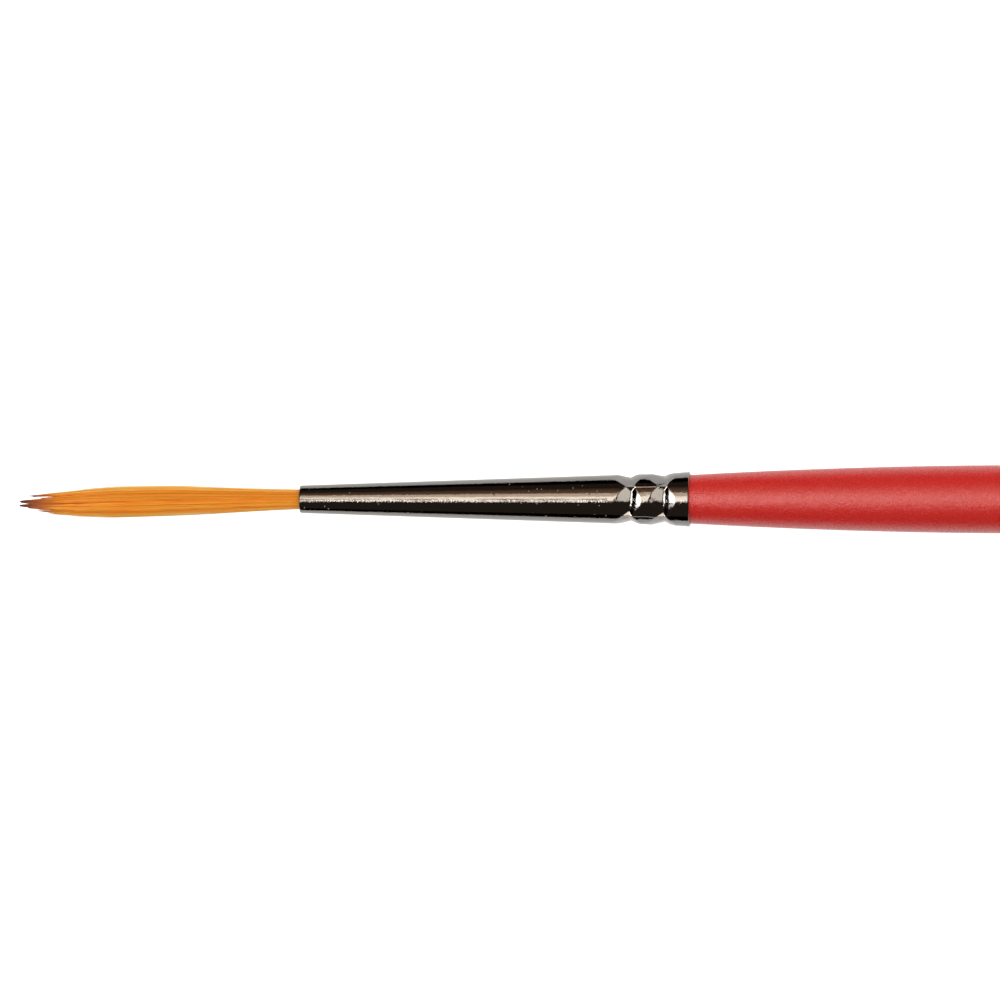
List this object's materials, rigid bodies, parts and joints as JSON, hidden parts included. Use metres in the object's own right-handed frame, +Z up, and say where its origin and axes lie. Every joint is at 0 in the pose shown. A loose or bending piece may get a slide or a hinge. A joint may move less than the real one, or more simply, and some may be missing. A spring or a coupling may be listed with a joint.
{
  "type": "artist's round detail brush",
  "caption": "Fine round detail brush: a long soft tuft that flexes and springs back, in a tapered metal ferrule crimped to a slim red lacquered handle with a rounded tail.",
  "frame": {"origin": "under the middle of the brush's length, on the surface that the handle's belly touches", "axes": "+X runs along the brush from its tip to the handle's tail, +Z is up, and the brush lies level with its axis 3.4 mm above the origin"},
  "size_m": [0.1972, 0.0068, 0.0068],
  "materials": {
    "lacquered_wood": "gloss",
    "nickel_tube": "polished",
    "hair": "satin",
    "resin": "gloss",
    "thread": "matte",
    "glue": "satin"
  },
  "bodies": {
    "grip": {"handle": "lacquered_wood", "handle_glue": "glue", "ferrule": "nickel_tube", "root_resin_plug": "resin", "root_binding": "thread", "tuft_root": "hair"},
    "tuft": {"core_lock": "hair", "inner_lock_1": "hair", "inner_lock_2": "hair", "inner_lock_3": "hair", "inner_lock_4": "hair", "inner_lock_5": "hair", "outer_lock_1": "hair", "outer_lock_2": "hair", "outer_lock_3": "hair", "outer_lock_4": "hair", "outer_lock_5": "hair", "outer_lock_6": "hair", "outer_lock_7": "hair", "outer_lock_8": "hair"}
  },
  "joints": [
    {"name": "tuft_flex", "type": "hinge", "parent": "grip", "child": "tuft", "pos_m": [-0.0764, 0, 0.0034], "axis": [0, 0, 1], "range_deg": [-30, 30], "stiffness_Nm_per_rad": 0.00025}
  ]
}
